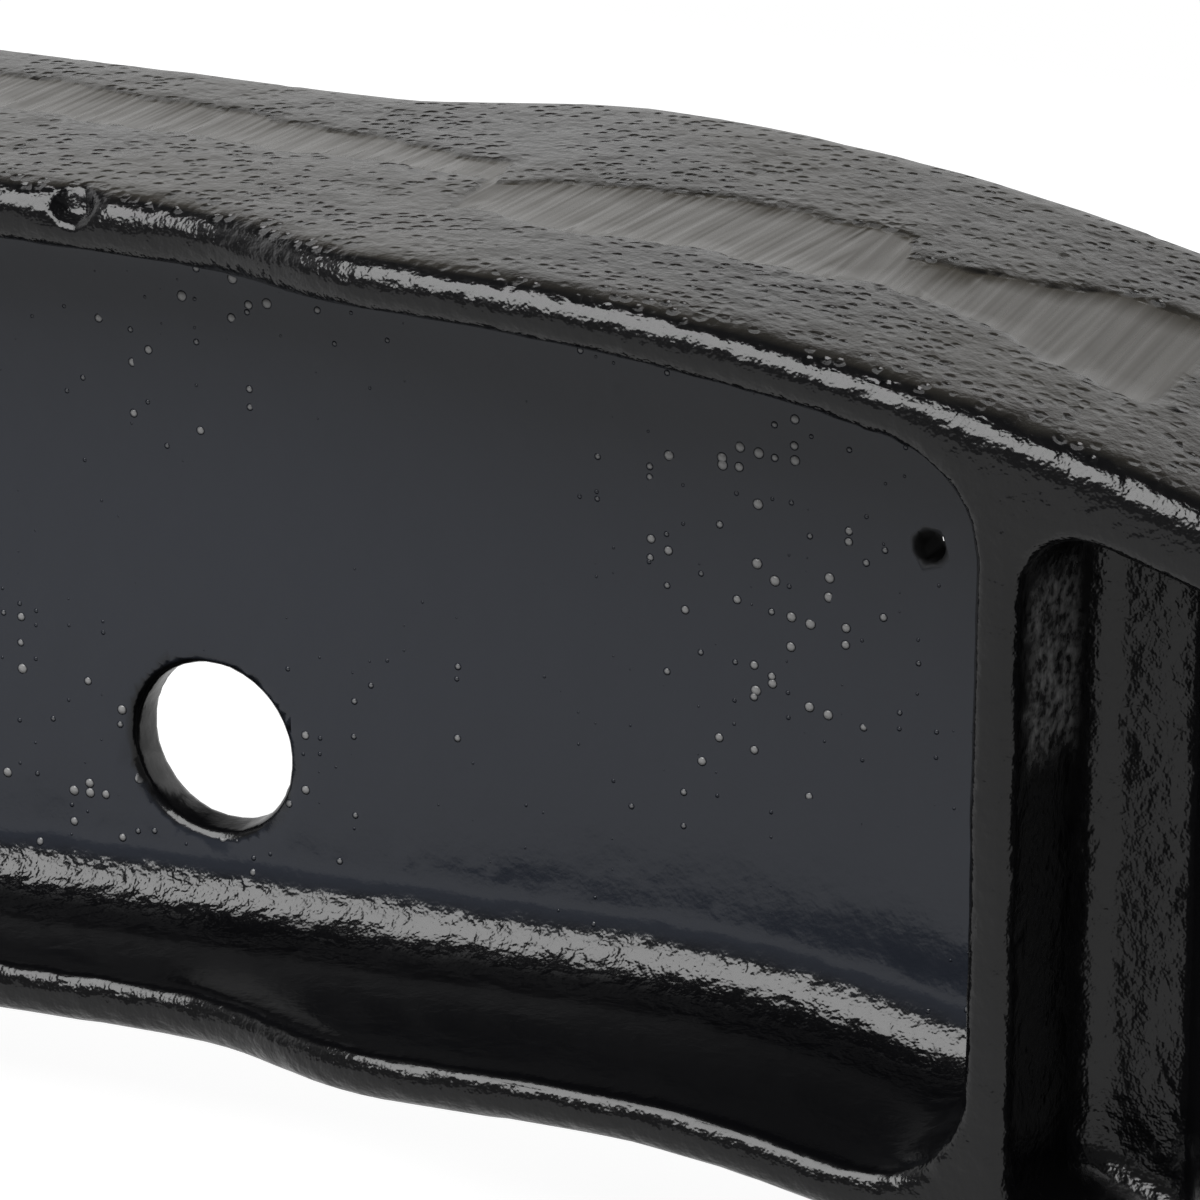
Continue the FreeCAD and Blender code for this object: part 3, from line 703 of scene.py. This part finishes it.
def make_floor(level):
    """A wide floor at the height the bar stands on."""
    half = FLOOR_HALF
    mesh = bpy.data.meshes.new("floor")
    square = [(-half, -half, level), (half, -half, level), (half, half, level), (-half, half, level)]
    mesh.from_pydata(square, [], [(0, 1, 2, 3)])
    mesh.materials.append(floor_paint())
    floor = bpy.data.objects.new("floor", mesh)
    bpy.context.scene.collection.objects.link(floor)


def add_lamp(power):
    """A long soft lamp over the bar, level along the bar."""
    light = bpy.data.lights.new("overhead", "AREA")
    light.shape = "RECTANGLE"
    light.size, light.size_y = LAMP_SIZE
    light.energy = power
    away = Vector(LAMP_DIRECTION).normalized()
    across = away.cross(Vector((1.0, 0.0, 0.0))).normalized()
    axes = Matrix((across.cross(away), across, away)).transposed()
    lamp = bpy.data.objects.new("overhead", light)
    lamp.matrix_world = Matrix.Translation(Vector(LAMP_TARGET) + away * LAMP_DISTANCE) @ axes.to_4x4()
    bpy.context.scene.collection.objects.link(lamp)


def add_camera(settings):
    """The photograph's view: the web hole of the right arm, low and left in the frame."""
    hole = Vector((WEB_HOLE[0], -WEB_HALF, WEB_HOLE[1]))
    turn, rise, roll = settings.turn, settings.rise, settings.roll
    ahead = Vector((-math.sin(turn) * math.cos(rise), math.cos(turn) * math.cos(rise), -math.sin(rise)))
    level = Vector((math.cos(turn), math.sin(turn), 0.0))
    upright = level.cross(ahead)
    right = level * math.cos(roll) + upright * math.sin(roll)
    up = upright * math.cos(roll) - level * math.sin(roll)
    data = bpy.data.cameras.new("camera")
    data.sensor_width = SENSOR_WIDTH
    data.lens = settings.lens
    data.clip_start = 0.05
    data.clip_end = 100.0
    width = settings.distance * SENSOR_WIDTH / settings.lens
    aside, down = (share * width for share in HOLE_IN_PICTURE)
    origin = hole - right * aside + up * down - ahead * settings.distance
    camera = bpy.data.objects.new("camera", data)
    camera.matrix_world = Matrix.Translation(origin) @ Matrix((right, up, -ahead)).transposed().to_4x4()
    bpy.context.scene.collection.objects.link(camera)
    bpy.context.scene.camera = camera


# Operators and panel


class AXLE_OT_cast_bar(bpy.types.Operator):
    """Build the painted casting over the solid of the bar"""

    bl_idname = "axle.cast_bar"
    bl_label = "Cast bar"

    def execute(self, context):
        if NODE not in bpy.data.objects:
            raise RuntimeError("The solid of the bar is missing")
        settings = context.scene.axle_skin
        material = make_paint(context.scene.axle_paint)
        mesh = bare_mesh(settings.voxel * (1.0), settings.easing)
        mark_all(mesh)
        mesh = lay_skin(mesh, settings, material)
        mesh.name = "painted_bar"
        mark_all(mesh)
        mesh.shade_smooth()
        bar = bpy.data.objects.new("painted_bar", mesh)
        context.scene.collection.objects.link(bar)
        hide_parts(NODE)
        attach(bar, "root")
        return {"FINISHED"}


class AXLE_OT_set_stage(bpy.types.Operator):
    """Put the floor, lamps, surroundings and camera round the bar"""

    bl_idname = "axle.set_stage"
    bl_label = "Set stage"

    def execute(self, context):
        settings = context.scene.axle_stage
        low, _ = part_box(NODE)
        make_world(settings)
        make_floor(low.z)
        add_lamp(settings.overhead)
        add_camera(settings)
        context.scene.view_settings.view_transform = "Standard"
        return {"FINISHED"}


class AXLE_PT_panel(bpy.types.Panel):
    """Settings of the bar and its stage"""

    bl_idname = "AXLE_PT_panel"
    bl_label = "Axle bar"
    bl_space_type = "VIEW_3D"
    bl_region_type = "UI"
    bl_category = "Axle bar"

    def draw(self, context):
        for operator, settings in (("axle.cast_bar", context.scene.axle_skin),
                                   (None, context.scene.axle_paint),
                                   ("axle.set_stage", context.scene.axle_stage)):
            box = self.layout.box()
            for name in settings.__annotations__:
                box.prop(settings, name)
            if operator:
                box.operator(operator)


CLASSES = (SkinSettings, PaintSettings, StageSettings, AXLE_OT_cast_bar, AXLE_OT_set_stage, AXLE_PT_panel)


def register():
    for cls in CLASSES:
        bpy.utils.register_class(cls)
    bpy.types.Scene.axle_skin = PointerProperty(type=SkinSettings)
    bpy.types.Scene.axle_paint = PointerProperty(type=PaintSettings)
    bpy.types.Scene.axle_stage = PointerProperty(type=StageSettings)


def unregister():
    del bpy.types.Scene.axle_skin
    del bpy.types.Scene.axle_paint
    del bpy.types.Scene.axle_stage
    for cls in reversed(CLASSES):
        bpy.utils.unregister_class(cls)


def main():
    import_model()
    register()
    bpy.ops.axle.cast_bar()
    bpy.ops.axle.set_stage()


if __name__ == "__main__":
    main()
